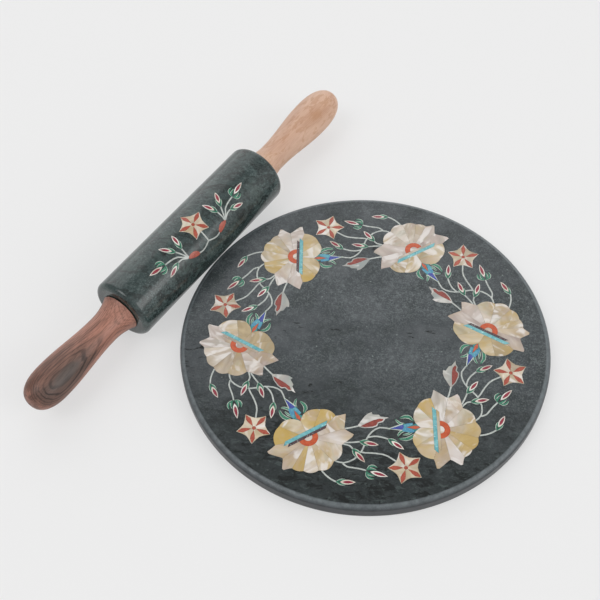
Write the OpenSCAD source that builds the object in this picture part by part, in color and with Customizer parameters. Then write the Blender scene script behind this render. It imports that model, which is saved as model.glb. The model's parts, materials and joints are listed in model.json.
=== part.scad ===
// Round marble pastry board and its rolling pin, both inlaid with shell and coloured stone.
// The board lies flat on its own base with its centre at the origin. The pin lies beside it,
// clear of the rim, and its marble barrel turns on a steel axle held by two wooden handles.

/* [Board] */
// Diameter of the marble board
board_d = 254; // [240:2:300]
// Thickness of the board
board_t = 12; // [10:0.5:18]
// Rounding of the upper edge
top_round = 3.5; // [1:0.5:4.5]
// Rounding of the lower edge
foot_round = 3; // [1:0.5:4.5]

/* [Inlay] */
// Number of flowers round the board
flower_count = 6; // [4:1:6]
// Radius of the ring that the flowers lie on
flower_ring = 86; // [84:0.5:92]
// Thickness of the inlaid slices
inlay_t = 1.6; // [1:0.1:2.5]
// Width of the joint between a slice and what it meets
joint = 0.1; // [0.04:0.02:0.16]
// Width of a stem
stem_w = 1.1; // [0.8:0.1:1.4]
// Width of the pale edging along a sepal
edging = 0.45; // [0.3:0.05:0.6]

/* [Flower] */
// Mean radius of the flower's petals
petal_r = 23; // [20:0.5:24]
// Length of the bar across the flower
bar_l = 34; // [28:1:36]
// Width of the bar
bar_w = 2.6; // [1.6:0.1:3.2]
// Width of the strip beside the bar
strip_w = 1.9; // [1:0.1:2.4]
// Outer radius of the half ring
ring_r = 6.5; // [5:0.1:7]
// Radius of the half pearl inside the half ring
pearl_r = 2.8; // [2:0.1:3.5]

/* [Buds and stars] */
// Length of a bud with its sepals
bud_l = 12.2; // [10:0.2:13]
// Width of a bud
bud_w = 3.4; // [2.8:0.1:4]
// Width of a bud's sepals
sepal_w = 1.5; // [1.3:0.1:2]
// Length of a trident bud
trident_l = 14; // [12:0.5:15]
// Spread of a trident bud's sepals, from side to side
trident_w = 9; // [7:0.5:10]
// Width of a trident bud's sepals
trident_sepal_w = 1.7; // [1.3:0.1:2.2]
// Radius of a star, to its points
star_r = 11.8; // [10:0.2:12.4]
// Radius of a star, to its notches
star_notch_r = 7.5; // [6.5:0.1:8.5]
// Width of a star's ribs
rib_w = 3.1; // [1.6:0.1:3.4]
// Radius of a star's centre
star_eye_r = 1.3; // [1:0.1:1.6]

/* [Rolling pin] */
// Diameter of the marble barrel
barrel_d = 46.6; // [42:0.2:52]
// Length of the barrel
barrel_l = 158; // [140:2:180]
// Rounding of the barrel's ends
barrel_round = 4; // [2:0.5:6]
// Drilled hole through the barrel
barrel_bore_d = 12; // [10:0.5:13]
// Direction of the pin, from the x axis
pin_turn = 58.9; // [40:0.1:75]
// Place of the barrel's middle along the pin's line
pin_shift = -4.9; // [-20:0.1:20]
// Gap between the barrel and the board's rim
rim_gap = 0.3; // [0.2:0.1:3]
// Angle from the barrel's top to the sprig's middle
sprig_turn = 14.5; // [0:0.5:30]
// Place of the sprig's star along the barrel, from its middle
sprig_shift = -3; // [-10:0.5:10]

/* [Handles] */
// Length of the near handle
near_l = 88.8; // [80:0.2:105]
// Radius of the near handle's bulb
near_bulb_r = 13.7; // [12.5:0.1:16]
// Length of the far handle
far_l = 97.8; // [85:0.2:105]
// Radius of the far handle's bulb
far_bulb_r = 14.5; // [12.5:0.1:16]
// Radius of a handle's neck
neck_r = 10.8; // [10:0.1:12]
// Radius of a handle's flared foot
flare_r = 14.5; // [13:0.1:16]
// Depth of the lathe's centre mark in a handle's end
mark_depth = 0.6; // [0.4:0.1:1]

/* [Axle] */
// Diameter of the steel axle
axle_d = 8; // [7:0.5:9]
// How far the axle reaches into each handle
axle_grip = 20; // [15:1:28]
// Radial running clearance of the axle in its bushes
running_fit = 0.05; // [0.03:0.01:0.08]
// Wall of a bush's sleeve
bush_wall = 4; // [3.5:0.5:5]
// Length of a bush
bush_l = 16; // [12:1:20]
// Radius of a bush's flange
flange_r = 11; // [10:0.5:13]
// Thickness of a bush's flange
flange_t = 1.5; // [1:0.1:2.5]
// Thickness of the washer behind a handle
washer_t = 0.6; // [0.4:0.1:1.2]
// Radius of the washer
washer_r = 10; // [9:0.5:12]
// Running gap between a washer and its bush
end_float = 0.1; // [0.06:0.02:0.2]
// Outer radius of the brass insert in a handle
insert_r = 5.5; // [5:0.1:6.5]

/* [Hidden] */
$fn = 96;
stem_steps = 2;
blade_steps = 6;

board_r = board_d / 2;
barrel_r = barrel_d / 2;
axle_r = axle_d / 2;
sector = 360 / flower_count;
pattern_turn = -21.7;                             // the pattern, from the board's y axis
seat_fit = 0.02;                                  // a sleeve in the hole it is glued in
handle_gap = washer_t + end_float;                // barrel's end face to handle
bush_r = axle_r + running_fit + bush_wall;
bush_relief = 0.5;                                // hole deeper than the bush in it
insert_l = axle_grip + 2;                         // an insert runs past the axle's end
insert_relief = 1;                                // hole deeper than the insert in it
neck_at = 18;                                     // from a handle's foot to its neck
near_nose = 23;                                   // from the near bulb to the handle's end
far_nose = 29;                                    // from the far bulb to the handle's end
nose_power = 2.5;                                 // 2 is an ellipse, more is blunter
mark_r = 1.4;                                     // lathe mark in a handle's end

// Distance from the board's centre to the pin's line, with the barrel clear of the rim
pin_reach = board_r - top_round
    + sqrt((barrel_r + top_round + rim_gap) ^ 2 - (barrel_r - board_t + top_round) ^ 2);
$wrapped = false;                                 // true while the sprig on the barrel is drawn

// Petals, each from one notch to the next: start angle, end angle, radius at the start and at
// the end, rise of the tip, place of the tip between the notches, and 1 for a pointed petal.
// Radii and rises are shares of petal_r.
BACK = [
    [70, 98, 1.03, 0.98, 0.05, 0.5, 0], [98, 141, 0.98, 0.61, 0.09, 0.6, 0],
    [141, 182, 0.61, 0.95, 0.09, 0.55, 0], [182, 218, 0.95, 0.99, 0.05, 0.5, 0]];
POINTS = [
    [12, 43, 0.92, 1.03, 0.28, 0.6, 1], [43, 70, 1.03, 1.03, 0.26, 0.75, 1],
    [218, 245, 0.99, 0.97, 0.31, 0.28, 1], [245, 268, 0.97, 1.04, 0.24, 0.57, 1]];
FAN = [
    [268, 286, 1.04, 1.02, 0.03, 0.5, 0], [286, 310, 1.02, 1.02, 0.05, 0.5, 0],
    [310, 338, 1.02, 0.98, 0.08, 0.5, 0], [338, 372, 0.98, 0.92, 0.07, 0.5, 0]];
PETALS = concat(BACK, POINTS, FAN);

// The bar lies across the flower, behind the strip and the half ring: its middle and direction.
bar_at = [-4, 2.25];
bar_turn = 55;

// The calyx, measured from the notch between the back petals. Sepals have a mid line and a
// width. The trumpet's tip is where the stem of the flower before it ends, and a pale rim runs
// along the trumpet's two long sides. The cup fills the heart, and the wedge splits the cup.
calyx_turn = 141;
calyx_at = petal_edge(calyx_turn);
trumpet_tip = [-17, 10.6];
trumpet = [trumpet_tip, [-7.9, 8.1], [-8.7, 6.4], [-10.7, 5.4]];
trumpet_rim = [trumpet_tip + [-1.5, 1], [-7.4, 8.9], [-11.1, 4.7]];
heart = [
    [-8.7, 6.4], [-7.9, 8.1], [-6, 7.6], [-2.2, 5.7], [-2.8, 4.3], [-7.1, 5.2], [-4.6, 0.9],
    [-5.3, -0.6], [-8.2, 1.2], [-11.3, 4.4], [-10.7, 5.4]];
cup = [[-7.1, 5.2], [-2.8, 4.3], [1, 4], [0, -2], [-5.3, -0.6], [-4.6, 0.9]];
wedge = [[-7.6, 5.5], [-1.7, 2.9], [0.2, 0.2], [-3.3, 0.7]];
CALYX = [
    [[[-1.1, 5.8], [-1.1, 9.6], [-3.5, 12.2], [-7.7, 13.4]], 2.8],
    [[[-4.2, -1.4], [-8.7, -2.2], [-13.1, -1.4], [-16.9, 2]], 2.8],
    [[[-6.3, 7.8], [-9.1, 9.8], [-9.9, 14.6]], 2],
    [[[-8.7, 3.6], [-12.7, 4.6], [-16.5, 3.1]], 2],
    [[[-5.3, 0.6], [-9.1, 0.7], [-13.3, 2.4]], 1.7]];

// Stems of one flower's spray, from its petals' edge. The next flower's trumpet ends the
// longest one. A bud stands on the end of each of the next four, at the angle given.
next_tip = turned(calyx_at + trumpet_tip - [0, flower_ring], sector) + [0, flower_ring];
SCROLL = [petal_edge(-19), [27, -6.4], [32, -1], [34, 7], [33.2, 15], [34.2, 21.5],
    [37.5, 26.6], next_tip];
BUD_STEMS = [
    [[petal_edge(18), [26.3, 9.4], [30.2, 11.8]], 14],
    [[petal_edge(15), [25.5, 6.3], [28.2, 5]], -26],
    [[[33.4, 16.6], [36.6, 19.1], [40.6, 20.6], [46, 21.3]], -12],
    [[petal_edge(-46), [20.6, -19.1], [24.9, -20.2], [28.4, -20.4]], 24]];
TRIDENT_STEMS = [[[[26.5, -7], [30, -7.9], [33.4, -7.1], [37.7, -5.9], [42.4, -5.1]], 8]];
star_at = [64, 7.4];
STAR_STEM = [[34.3, 5.4], [36.6, 6], [39.9, 7.4], [44.9, 9.1], [50.6, 9.9], star_at];
star_turn = 62;
leaf_at = [24.4, 21.6];
LEAF_STEM = [petal_edge(43), [20.5, 18.4], leaf_at];
LEAF_SHELL = [
    [-0.4, 0.3], [0, 3.6], [0.8, 8.2], [1.9, 11.1], [3.8, 13.3], [5, 11.9], [8.8, 13.5],
    [10.4, 12.7], [15.6, 14.4], [13.8, 12.1], [13.5, 9.6], [11.2, 7.7], [11.2, 5.2], [9, 2.9],
    [4.6, 0.5], [0.4, -0.5]];
LEAF_HEART = [
    [1.4, 0.5], [4.3, 4.5], [7.3, 8.2], [10.2, 10.9], [12.9, 11.7], [12.7, 10], [10.4, 8.1],
    [10.4, 5.5], [8.6, 3.6], [4.5, 1.2]];

// Half of the sprig on the barrel, from its star. The other half is its mirror image.
SPRIG_SCROLL = [[0, -16], [3.4, -17.4], [7.6, -18.4], [12.2, -17.6]];
SPRIG_BUD_STEMS = [
    [[[20.4, -14.6], [20.6, -11], [20.2, -6]], 105],
    [[[20.6, -14.6], [23, -9.4], [25.4, -4.8]], 58],
    [[[21.6, -14.2], [25.4, -11.8], [29.6, -11.4]], -17]];
SPRIG_TRIDENT_STEMS = [[[[21, -14.4], [27, -8.4], [33, -6.6], [38, -6]], 10]];
SPRIG_LEAF = [[11.2, -18.3], [15.2, -15.8], [21.2, -14.6]];
sprig_leaf_w = 4.4;
sprig_mid = -3.5;                                 // middle of the sprig's height, from the star

// A point turned about the origin.
function turned(p, a) = [p.x * cos(a) - p.y * sin(a), p.x * sin(a) + p.y * cos(a)];

// An outline turned, then moved.
function placed(outline, at, a) = [for (p = outline) at + turned(p, a)];

// A smooth curve through all the points p, at place u from 0 to len(p) - 1.
function curve_at(p, u) =
    let (last = len(p) - 1, i = min(floor(u), last - 1), t = u - i,
         a = p[max(i - 1, 0)], b = p[i], c = p[i + 1], d = p[min(i + 2, last)])
    (2 * b + (c - a) * t + (2 * a - 5 * b + 4 * c - d) * t ^ 2
     + (3 * b - a - 3 * c + d) * t ^ 3) / 2;

// The unit normal of that curve, on its left.
function normal_at(p, u) =
    let (e = 0.01, d = curve_at(p, min(u + e, len(p) - 1)) - curve_at(p, max(u - e, 0)))
    [-d.y, d.x] / norm(d);

// A ribbon of even width along the curve.
function ribbon(p, w) =
    let (n = stem_steps * (len(p) - 1))
    concat(
        [for (i = [0 : n]) curve_at(p, i / stem_steps) + w / 2 * normal_at(p, i / stem_steps)],
        [for (i = [n : -1 : 0])
            curve_at(p, i / stem_steps) - w / 2 * normal_at(p, i / stem_steps)]);

// A blade along the curve, pointed at both ends, with its own reach to the left and right.
function blade(p, left, right) =
    let (n = blade_steps, last = len(p) - 1,
         edge = function (i, reach)
            curve_at(p, last * i / n) + reach * sin(180 * i / n) ^ 0.8 * normal_at(p, last * i / n))
    concat([for (i = [0 : n]) edge(i, left)], [for (i = [n - 1 : -1 : 1]) edge(i, -right)]);

// A pointed oval from x0 to x1, fullest a little before its middle.
function oval(x0, x1, w, n = 6) =
    let (half = function (t) w / 2 * sin(180 * t ^ 0.9) ^ 0.85)
    concat([for (i = [0 : n]) [x0 + (x1 - x0) * i / n, half(i / n)]],
           [for (i = [n - 1 : -1 : 1]) [x0 + (x1 - x0) * i / n, -half(i / n)]]);

// Radius of a petal's edge at share u of its width.
function petal_radius(p, u) =
    let (v = u < p[5] ? u / p[5] : (1 - u) / (1 - p[5]))
    petal_r * (p[2] + (p[3] - p[2]) * u + p[4] * (p[6] == 1 ? v ^ 1.4 : sin(90 * v)));

// The point of the flower's edge at an angle.
function petal_edge(a) =
    let (b = a < 12 ? a + 360 : a, p = [for (q = PETALS) if (b >= q[0] && b <= q[1]) q][0])
    petal_radius(p, (b - p[0]) / (p[1] - p[0])) * [cos(b), sin(b)];

// A petal's outline, from the flower's centre.
function petal(p, n = 8) = concat([[0, 0]],
    [for (i = [0 : n]) let (a = p[0] + (p[1] - p[0]) * i / n)
        petal_radius(p, i / n) * [cos(a), sin(a)]]);

// A star with slightly hollow sides.
function star(turn) = [for (k = [0 : 4], j = [0 : 3])
    let (a = turn + 72 * k + 18 * j, hollow = (star_r + star_notch_r) / 2 - 1.2,
         r = [star_r, hollow, star_notch_r, hollow][j])
    r * [cos(a), sin(a)]];

// The sector of a star that lies between two of its ribs.
function star_sector(a) = [[0, 0], for (b = [a, a + 36, a + 72]) 2 * star_r * [cos(b), sin(b)]];

// The star's round centre.
function star_eye(n = 16) = [for (i = [0 : n - 1]) star_eye_r * [cos(360 * i / n), sin(360 * i / n)]];

// One rib of a star, widest towards its point.
function rib() = [
    [star_eye_r + 0.3, 0], [star_r * 0.45, rib_w * 0.4], [star_r * 0.66, rib_w / 2],
    [star_r - 1, rib_w * 0.1], [star_r - 1, -rib_w * 0.1], [star_r * 0.66, -rib_w / 2],
    [star_r * 0.45, -rib_w * 0.4]];

// A bud sepal's outline: its green slice, its pale edging on the outer side, or both as one.
// Side is 1 where the outer side is on the mid line's left, and -1 where it is on the right.
function sepal(p, w, side, kind) =
    let (out = kind == "green" ? w / 2 - edging : w / 2,
         in = kind == "edging" ? edging - w / 2 : w / 2)
    side > 0 ? blade(p, out, in) : blade(p, in, out);

// Mid line and side of each of a bud's sepals: left and right.
function bud_sepals() = [for (s = [-1, 1])
    [[[-0.4, 0], [bud_l * 0.22, s * bud_w * 0.42], [bud_l * 0.5, s * bud_w * 0.56]], s]];

// Mid line and side of each sepal of a pair on a trident bud, at a share of its full spread.
function trident_sepals(spread) = let (w = spread * trident_w) [for (s = [-1, 1])
    [[[-0.3, 0], [trident_l * 0.06, s * w * 0.36], [trident_l * 0.24, s * w / 2],
      [trident_l * 0.46, s * w * 0.42]], s]];

// Draws an outline flat, or foreshortened so that it comes true on the barrel's round.
module outline(p) {
    polygon($wrapped
        ? [for (q = p) [q.x, barrel_r * sin((q.y - sprig_mid) / barrel_r * 180 / PI)]] : p);
}

module at_each_flower(first = 0, step = 1) {
    for (k = [first : step : flower_count - 1])
        rotate(k * sector + pattern_turn) translate([0, -flower_ring]) children();
}

// Flat outlines of one flower and its spray

module flower_2d() {
    for (p = PETALS) outline(petal(p));
}

module bar_2d(w, l, shift) {
    translate(bar_at) rotate(bar_turn) translate([0, shift])
        polygon([[-l / 2, -w / 2], [l / 2 - w, -w / 2], [l / 2, w / 2], [w - l / 2, w / 2]]);
}

module bars_2d() {
    bar_2d(bar_w, bar_l, 0);
}

module strips_2d() {
    bar_2d(strip_w, bar_l - 4, -(bar_w + strip_w) / 2);
}

// A half disc on the strip's front edge, where the half ring and its half pearl lie
module half_disc_2d(r) {
    translate(bar_at) rotate(bar_turn) translate([0, -bar_w / 2 - strip_w]) intersection() {
        circle(r, $fn = 28);
        translate([-r, -r]) square([2 * r, r]);
    }
}

module petals_2d(list) {
    for (p = list) offset(delta = -joint / 2) difference() {
        outline(petal(p));
        bars_2d();
        strips_2d();
        half_disc_2d(ring_r);
    }
}

// The calyx's sepals, less an edging on both sides
module calyx_sepals_2d(less) {
    translate(calyx_at) for (c = CALYX) outline(blade(c[0], c[1] / 2 - less, c[1] / 2 - less));
}

module calyx_heads_2d() {
    translate(calyx_at) {
        outline(trumpet_rim);
        outline(trumpet);
        outline(heart);
        outline(cup);
        outline(wedge);
    }
}

// What the calyx's sepals are cut to fit round
module calyx_core_2d() {
    flower_2d();
    calyx_heads_2d();
}

module calyx_2d() {
    calyx_sepals_2d(0);
    calyx_heads_2d();
}

// A stem's end, where a bud stands
function tip_of(s) = s[0][len(s[0]) - 1];

module bud_frames_2d(stems) {
    for (s = stems) outline(placed(oval(bud_l * 0.18, bud_l, bud_w), tip_of(s), s[1]));
}

module bud_cores_2d(stems) {
    for (s = stems)
        outline(placed(oval(bud_l * 0.32, bud_l * 0.9, bud_w * 0.55), tip_of(s), s[1]));
}

module bud_sepals_2d(stems, kind) {
    for (s = stems, m = bud_sepals())
        outline(placed(sepal(m[0], sepal_w, m[1], kind), tip_of(s), s[1]));
}

module trident_frames_2d(stems) {
    for (s = stems) outline(placed(oval(trident_l * 0.16, trident_l, bud_w), tip_of(s), s[1]));
}

module trident_cores_2d(stems) {
    for (s = stems)
        outline(placed(oval(trident_l * 0.3, trident_l * 0.9, bud_w * 0.55), tip_of(s), s[1]));
}

module trident_pair_2d(stems, kind, spread) {
    for (s = stems, m = trident_sepals(spread))
        outline(placed(sepal(m[0], trident_sepal_w, m[1], kind), tip_of(s), s[1]));
}

// The outer pair of sepals, and the inner pair cut to fit between them
module trident_sepals_2d(stems, kind) {
    trident_pair_2d(stems, kind, 1);
    difference() {
        trident_pair_2d(stems, kind, 0.5);
        offset(delta = joint / 2) trident_pair_2d(stems, "both", 1);
    }
}

module frames_2d(stems, tridents) {
    bud_frames_2d(stems);
    trident_frames_2d(tridents);
}

module cores_2d(stems, tridents) {
    bud_cores_2d(stems);
    trident_cores_2d(tridents);
}

module sepals_2d(stems, tridents, kind) {
    bud_sepals_2d(stems, kind);
    trident_sepals_2d(tridents, kind);
}

module stars_2d(turn) {
    outline(star(turn));
}

module ribs_2d(turn) {
    for (k = [0 : 4]) outline(placed(rib(), [0, 0], turn + 72 * k));
}

module eye_2d() {
    outline(star_eye());
}

// The pale field of a star, in five slices that meet behind its ribs
module star_field_2d(turn) {
    for (k = [0 : 4]) offset(delta = -joint / 2) difference() {
        intersection() {
            stars_2d(turn);
            outline(star_sector(turn + 72 * k));
        }
        ribs_2d(turn);
        eye_2d();
    }
}

module leaf_2d() {
    translate(leaf_at) polygon(LEAF_SHELL);
}

module leaf_heart_2d() {
    translate(leaf_at) polygon(LEAF_HEART);
}

module stems_2d() {
    for (s = [SCROLL, STAR_STEM, LEAF_STEM]) outline(ribbon(s, stem_w));
    for (s = concat(BUD_STEMS, TRIDENT_STEMS)) outline(ribbon(s[0], stem_w));
}

// All of the spray that the stems are cut to fit round
module spray_heads_2d() {
    frames_2d(BUD_STEMS, TRIDENT_STEMS);
    sepals_2d(BUD_STEMS, TRIDENT_STEMS, "both");
    translate(star_at) stars_2d(star_turn);
    leaf_2d();
}

module one_motif_2d() {
    flower_2d();
    calyx_2d();
    spray_heads_2d();
    stems_2d();
}

// Slices let into the board

module slices(first = 0, step = 1) {
    translate([0, 0, board_t - inlay_t]) linear_extrude(inlay_t)
        at_each_flower(first, step) children();
}

module fitted() {
    offset(delta = -joint / 2) children();
}

module marble_board() {
    color("#434a4b") difference() {
        rotate_extrude() {
            square([board_r - foot_round, board_t / 2]);
            translate([0, board_t / 2]) square([board_r - top_round, board_t / 2]);
            translate([0, foot_round]) square([board_r, board_t - foot_round - top_round]);
            translate([board_r - foot_round, foot_round]) circle(foot_round);
            translate([board_r - top_round, board_t - top_round]) circle(top_round);
        }
        translate([0, 0, board_t - inlay_t]) linear_extrude(2 * inlay_t)
            offset(delta = joint / 2) at_each_flower() one_motif_2d();
    }
}

module back_petals() {
    color("#d6c49a") slices() petals_2d(BACK);
}

module point_petals() {
    color("#d8cfc6") slices() petals_2d(POINTS);
}

module fan_petals() {
    color("#cdbfae") slices() petals_2d(FAN);
}

module flower_bars() {
    color("#5fb7b5") slices() fitted() bars_2d();
}

// Dark and pale strips take turns from flower to flower.
module shell_strips() {
    color("#5d4a4c") slices(0, 2) fitted() strips_2d();
}

module pearl_strips() {
    color("#cdbfae") slices(1, 2) fitted() strips_2d();
}

module half_rings() {
    color("#c45a35") slices() fitted() difference() {
        half_disc_2d(ring_r);
        half_disc_2d(pearl_r);
    }
}

module half_pearls() {
    color("#e6ddcf") slices() fitted() half_disc_2d(pearl_r);
}

module calyx_sepals() {
    color("#2f7f5f") slices() fitted() difference() {
        calyx_sepals_2d(edging);
        calyx_core_2d();
    }
}

module calyx_edgings() {
    color("#b7c4b8") slices() fitted() {
        difference() {
            calyx_sepals_2d(0);
            calyx_sepals_2d(edging);
            calyx_core_2d();
        }
        translate(calyx_at) difference() {
            outline(trumpet_rim);
            outline(trumpet);
            outline(heart);
        }
    }
}

module calyx_hearts() {
    color("#4aa0c0") slices() fitted() difference() {
        translate(calyx_at) difference() {
            outline(heart);
            outline(trumpet);
            outline(wedge);
        }
        flower_2d();
    }
}

module calyx_cups() {
    color("#2f7f80") slices() fitted() difference() {
        translate(calyx_at) difference() {
            outline(cup);
            outline(heart);
            outline(wedge);
        }
        flower_2d();
    }
}

module calyx_trumpets() {
    color("#2b3c9a") slices() fitted() translate(calyx_at) outline(trumpet);
}

module calyx_wedges() {
    color("#c8795a") slices() fitted() difference() {
        translate(calyx_at) outline(wedge);
        flower_2d();
    }
}

module board_stems() {
    color("#b5bab5") slices() fitted() difference() {
        stems_2d();
        flower_2d();
        spray_heads_2d();
        translate([0, flower_ring]) rotate(sector) translate([0, -flower_ring]) calyx_2d();
    }
}

module board_bud_frames() {
    color("#ddd3cb") slices() fitted() difference() {
        frames_2d(BUD_STEMS, TRIDENT_STEMS);
        cores_2d(BUD_STEMS, TRIDENT_STEMS);
    }
}

module board_bud_cores() {
    color("#9b1f38") slices() fitted() cores_2d(BUD_STEMS, TRIDENT_STEMS);
}

module board_bud_sepals() {
    color("#3a7d62") slices() fitted() difference() {
        sepals_2d(BUD_STEMS, TRIDENT_STEMS, "green");
        frames_2d(BUD_STEMS, TRIDENT_STEMS);
    }
}

module board_bud_edgings() {
    color("#b7c4b8") slices() fitted() difference() {
        sepals_2d(BUD_STEMS, TRIDENT_STEMS, "edging");
        frames_2d(BUD_STEMS, TRIDENT_STEMS);
    }
}

module star_fields() {
    color("#dccbb8") slices() translate(star_at) star_field_2d(star_turn);
}

module star_ribs() {
    color("#c05038") slices() fitted() translate(star_at) ribs_2d(star_turn);
}

module star_eyes() {
    color("#b8452f") slices() fitted() translate(star_at) eye_2d();
}

module leaf_shells() {
    color("#d5d3cf") slices() fitted() difference() {
        leaf_2d();
        leaf_heart_2d();
    }
}

module leaf_hearts() {
    color("#a8483c") slices() fitted() leaf_heart_2d();
}

// The rolling pin

module both_sides() {
    children();
    mirror([1, 0]) children();
}

module sprig_stems_2d() {
    both_sides() {
        outline(ribbon(SPRIG_SCROLL, stem_w));
        for (s = concat(SPRIG_BUD_STEMS, SPRIG_TRIDENT_STEMS)) outline(ribbon(s[0], stem_w));
    }
    outline(ribbon([[0, 0], SPRIG_SCROLL[0]], stem_w));
}

module sprig_leaf_2d() {
    outline(blade(SPRIG_LEAF, sprig_leaf_w / 2, sprig_leaf_w / 2));
}

module sprig_heads_2d() {
    both_sides() {
        frames_2d(SPRIG_BUD_STEMS, SPRIG_TRIDENT_STEMS);
        sepals_2d(SPRIG_BUD_STEMS, SPRIG_TRIDENT_STEMS, "both");
        sprig_leaf_2d();
    }
    stars_2d(90);
}

// Lays a piece drawn along z onto the pin's line, z = 0 at the barrel's middle
module on_pin() {
    rotate(pin_turn) translate([pin_shift, pin_reach, barrel_r]) rotate([0, 90, 0]) children();
}

// Puts a piece drawn outward from the barrel's end face at the near or the far end
module at_end(side) {
    mirror([0, 0, side == "near" ? 1 : 0]) translate([0, 0, barrel_l / 2]) children();
}

// A prism of a flat outline, cut to a shell of the given radii round the barrel's axis
module shell_prism(r_out, r_in) {
    $wrapped = true;
    intersection() {
        translate([0, 0, sprig_shift]) rotate(sprig_turn - sprig_mid / barrel_r * 180 / PI)
            rotate([0, -90, 0]) translate([0, 0, r_in / 2]) linear_extrude(barrel_r) children();
        rotate_extrude() translate([r_in, -barrel_l / 2]) square([r_out - r_in, barrel_l]);
    }
}

module barrel_slices() {
    on_pin() shell_prism(barrel_r, barrel_r - inlay_t) children();
}

module marble_barrel() {
    color("#414a4a") on_pin() difference() {
        rotate_extrude() difference() {
            union() {
                translate([0, barrel_round - barrel_l / 2])
                    square([barrel_r, barrel_l - 2 * barrel_round]);
                translate([0, -barrel_l / 2]) square([barrel_r - barrel_round, barrel_l]);
                for (s = [-1, 1])
                    translate([barrel_r - barrel_round, s * (barrel_l / 2 - barrel_round)])
                        circle(barrel_round);
            }
            translate([-barrel_bore_d / 2, -barrel_l]) square([barrel_bore_d, 2 * barrel_l]);
            for (s = [0, 1]) mirror([0, s]) translate([0, barrel_l / 2]) {
                translate([0, -bush_l - bush_relief])
                    square([bush_r + seat_fit, barrel_l]);
                translate([0, -flange_t]) square([flange_r + seat_fit, barrel_l]);
            }
        }
        shell_prism(barrel_r + 1, barrel_r - inlay_t) offset(delta = joint / 2) {
            sprig_stems_2d();
            sprig_heads_2d();
        }
    }
}

module sprig_star_field() {
    color("#dccbb8") barrel_slices() star_field_2d(90);
}

module sprig_star_ribs() {
    color("#c05038") barrel_slices() fitted() ribs_2d(90);
}

module sprig_star_eye() {
    color("#b8452f") barrel_slices() fitted() eye_2d();
}

module sprig_stems() {
    color("#b5bab5") barrel_slices() fitted() difference() {
        sprig_stems_2d();
        sprig_heads_2d();
    }
}

module sprig_bud_frames() {
    color("#ddd3cb") barrel_slices() fitted() both_sides() difference() {
        frames_2d(SPRIG_BUD_STEMS, SPRIG_TRIDENT_STEMS);
        cores_2d(SPRIG_BUD_STEMS, SPRIG_TRIDENT_STEMS);
    }
}

module sprig_bud_cores() {
    color("#9b1f38") barrel_slices() fitted() both_sides()
        cores_2d(SPRIG_BUD_STEMS, SPRIG_TRIDENT_STEMS);
}

module sprig_bud_sepals() {
    color("#3a7d62") barrel_slices() fitted() both_sides() difference() {
        sepals_2d(SPRIG_BUD_STEMS, SPRIG_TRIDENT_STEMS, "green");
        frames_2d(SPRIG_BUD_STEMS, SPRIG_TRIDENT_STEMS);
    }
}

module sprig_bud_edgings() {
    color("#b7c4b8") barrel_slices() fitted() both_sides() difference() {
        sepals_2d(SPRIG_BUD_STEMS, SPRIG_TRIDENT_STEMS, "edging");
        frames_2d(SPRIG_BUD_STEMS, SPRIG_TRIDENT_STEMS);
    }
}

module sprig_leaves() {
    color("#c4503c") barrel_slices() fitted() both_sides() sprig_leaf_2d();
}

module axle_rod() {
    half = barrel_l / 2 + handle_gap + axle_grip;
    color("#b9bcbf") on_pin() translate([0, 0, -half]) cylinder(2 * half, axle_r, axle_r);
}

// A flanged sleeve let into the end of the barrel, flush with its face
module bush(side) {
    bore = axle_r + running_fit;
    color("#e8e6e0") on_pin() at_end(side) rotate_extrude() polygon([
        [bore, -bush_l], [bush_r, -bush_l], [bush_r, -flange_t], [flange_r, -flange_t],
        [flange_r, 0], [bore, 0]]);
}

module near_bush() {
    bush("near");
}

module far_bush() {
    bush("far");
}

module tube(r_out, r_in, l) {
    difference() {
        cylinder(l, r_out, r_out);
        translate([0, 0, -1]) cylinder(l + 2, r_in, r_in);
    }
}

module washer(side) {
    color("#c9a24a") on_pin() at_end(side) translate([0, 0, end_float])
        tube(washer_r, axle_r + running_fit, washer_t);
}

module near_washer() {
    washer("near");
}

module far_washer() {
    washer("far");
}

// The threaded sleeve that the axle is screwed into, drawn at its thread's outer size
module insert(side) {
    color("#c9a24a") on_pin() at_end(side) translate([0, 0, handle_gap])
        tube(insert_r, axle_r + seat_fit, insert_l);
}

module near_insert() {
    insert("near");
}

module far_insert() {
    insert("far");
}

// Radius of a handle at distance t from its foot
function handle_r(t, l, bulb, nose) =
    let (body = l - nose - neck_at)
    t < neck_at ? neck_r + (flare_r - neck_r) * (1 - t / neck_at) ^ 2.2
    : t < l - nose ? neck_r + (bulb - neck_r) * (1 - cos(180 * (t - neck_at) / body)) / 2
    : bulb * max(1 - ((t - l + nose) / nose) ^ nose_power, 0) ^ (1 / nose_power);

// Half outline of a turned handle, from its foot to the end of its nose
function handle_outline(l, bulb, nose) = concat(
    [[0, 0]],
    [for (i = [0 : 13]) let (t = neck_at * i / 14) [handle_r(t, l, bulb, nose), t]],
    [for (i = [0 : 19]) let (t = neck_at + (l - nose - neck_at) * i / 20)
        [handle_r(t, l, bulb, nose), t]],
    [for (i = [0 : 23]) let (t = l - nose + nose * sin(90 * i / 24))
        [handle_r(t, l, bulb, nose), t]],
    [[0, l]]);

module handle(side, l, bulb, nose) {
    on_pin() at_end(side) translate([0, 0, handle_gap]) difference() {
        rotate_extrude() polygon(handle_outline(l, bulb, nose));
        translate([0, 0, -1]) cylinder(insert_l + insert_relief + 1, insert_r + seat_fit,
            insert_r + seat_fit);
        translate([0, 0, l - mark_depth]) cylinder(2 * mark_depth, 0, 2 * mark_r);
    }
}

module near_handle() {
    color("#8a6558") handle("near", near_l, near_bulb_r, near_nose);
}

module far_handle() {
    color("#c9a58c") handle("far", far_l, far_bulb_r, far_nose);
}

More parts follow.
